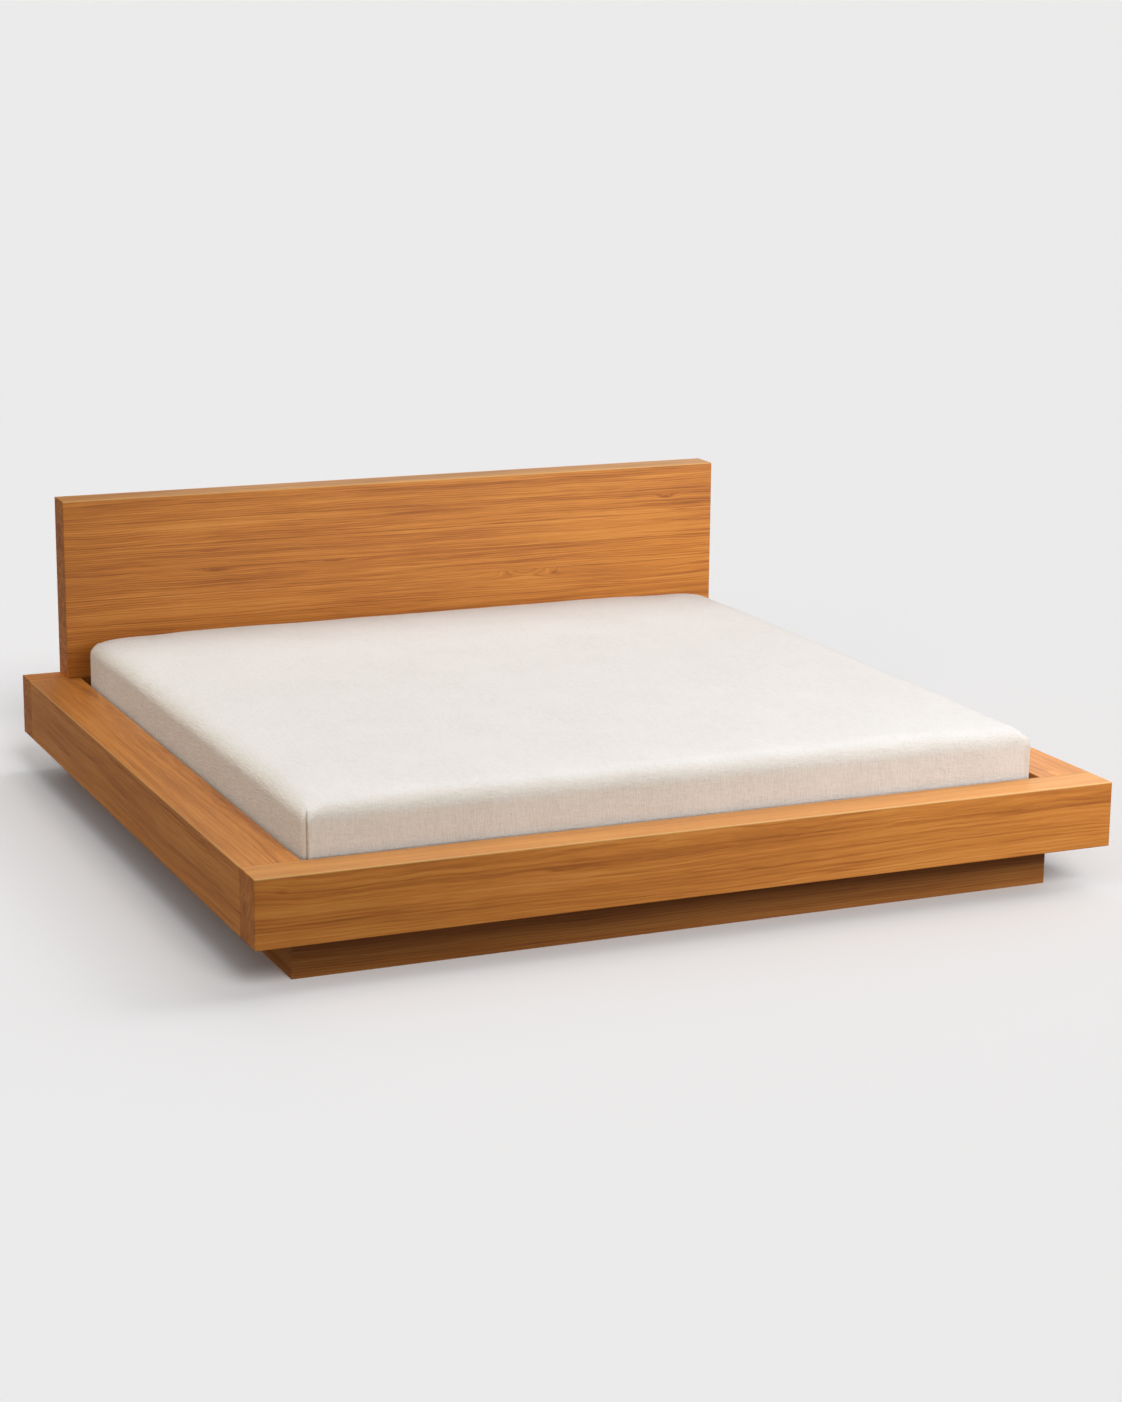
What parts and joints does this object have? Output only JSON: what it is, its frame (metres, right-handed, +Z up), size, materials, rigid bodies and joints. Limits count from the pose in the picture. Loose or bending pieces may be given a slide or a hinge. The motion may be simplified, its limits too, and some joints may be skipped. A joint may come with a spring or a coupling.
{
  "type": "platform bed",
  "caption": "Low platform bed: thick solid-wood rails on a set-back plinth, a planked headboard standing on the back rail, a sunken slatted base and a mattress that lifts out.",
  "frame": {"origin": "on the floor under the middle of the bed, at the bottom centre of its box", "axes": "+Z up, +Y from the foot of the bed to the headboard, +X to the right as seen from the foot"},
  "size_m": [2.32, 2.225, 0.815],
  "materials": {
    "oiled_wood": "oiled solid wood, golden brown, satin",
    "plinth_wood": "oiled solid wood, satin",
    "base_wood": "planed, untreated",
    "bracket_steel": "black powder coat",
    "screw_steel": "bright zinc",
    "insert_metal": "yellow zinc",
    "webbing": "woven tape",
    "ticking": "plain linen-like weave, off-white"
  },
  "bodies": {
    "frame": {"foot_rail": "oiled_wood", "back_rail": "oiled_wood", "side_rail_left_outer": "oiled_wood", "side_rail_left_inner": "oiled_wood", "side_rail_right_outer": "oiled_wood", "side_rail_right_inner": "oiled_wood", "headboard_plank_1": "oiled_wood", "headboard_plank_2": "oiled_wood", "headboard_plank_3": "oiled_wood", "headboard_plank_4": "oiled_wood", "headboard_plank_5": "oiled_wood", "headboard_plank_6": "oiled_wood", "headboard_plank_7": "oiled_wood", "plinth_front": "plinth_wood", "plinth_back": "plinth_wood", "plinth_left": "plinth_wood", "plinth_right": "plinth_wood", "glue_block_foot_left": "base_wood", "glue_block_foot_right": "base_wood", "glue_block_head_left": "base_wood", "glue_block_head_right": "base_wood", "cross_bearer_foot": "base_wood", "cross_bearer_head": "base_wood", "centre_beam": "base_wood", "head_cleat": "base_wood", "slat_ledger_left": "base_wood", "slat_ledger_right": "base_wood", "slat_01": "base_wood", "slat_02": "base_wood", "slat_03": "base_wood", "slat_04": "base_wood", "slat_05": "base_wood", "slat_06": "base_wood", "slat_07": "base_wood", "slat_08": "base_wood", "slat_09": "base_wood", "slat_10": "base_wood", "slat_11": "base_wood", "slat_12": "base_wood", "slat_13": "base_wood", "slat_14": "base_wood", "slat_tape_left": "webbing", "slat_tape_right": "webbing", "corner_bracket_foot_left": "bracket_steel", "corner_bracket_foot_right": "bracket_steel", "corner_bracket_head_left": "bracket_steel", "corner_bracket_head_right": "bracket_steel", "bracket_bolts": "screw_steel", "threaded_inserts": "insert_metal", "rail_dowels": "base_wood", "headboard_bolts": "screw_steel", "headboard_washers": "screw_steel", "barrel_nuts": "screw_steel", "barrel_nut_plugs": "oiled_wood", "headboard_dowels": "base_wood", "mending_plates": "bracket_steel", "plate_screws": "screw_steel", "wood_screws": "screw_steel"},
    "mattress": {"mattress": "ticking"}
  },
  "joints": [
    {"name": "mattress_lift", "type": "slide", "parent": "frame", "child": "mattress", "axis": [0, 0, 1], "range_m": [0, 0.62]}
  ]
}
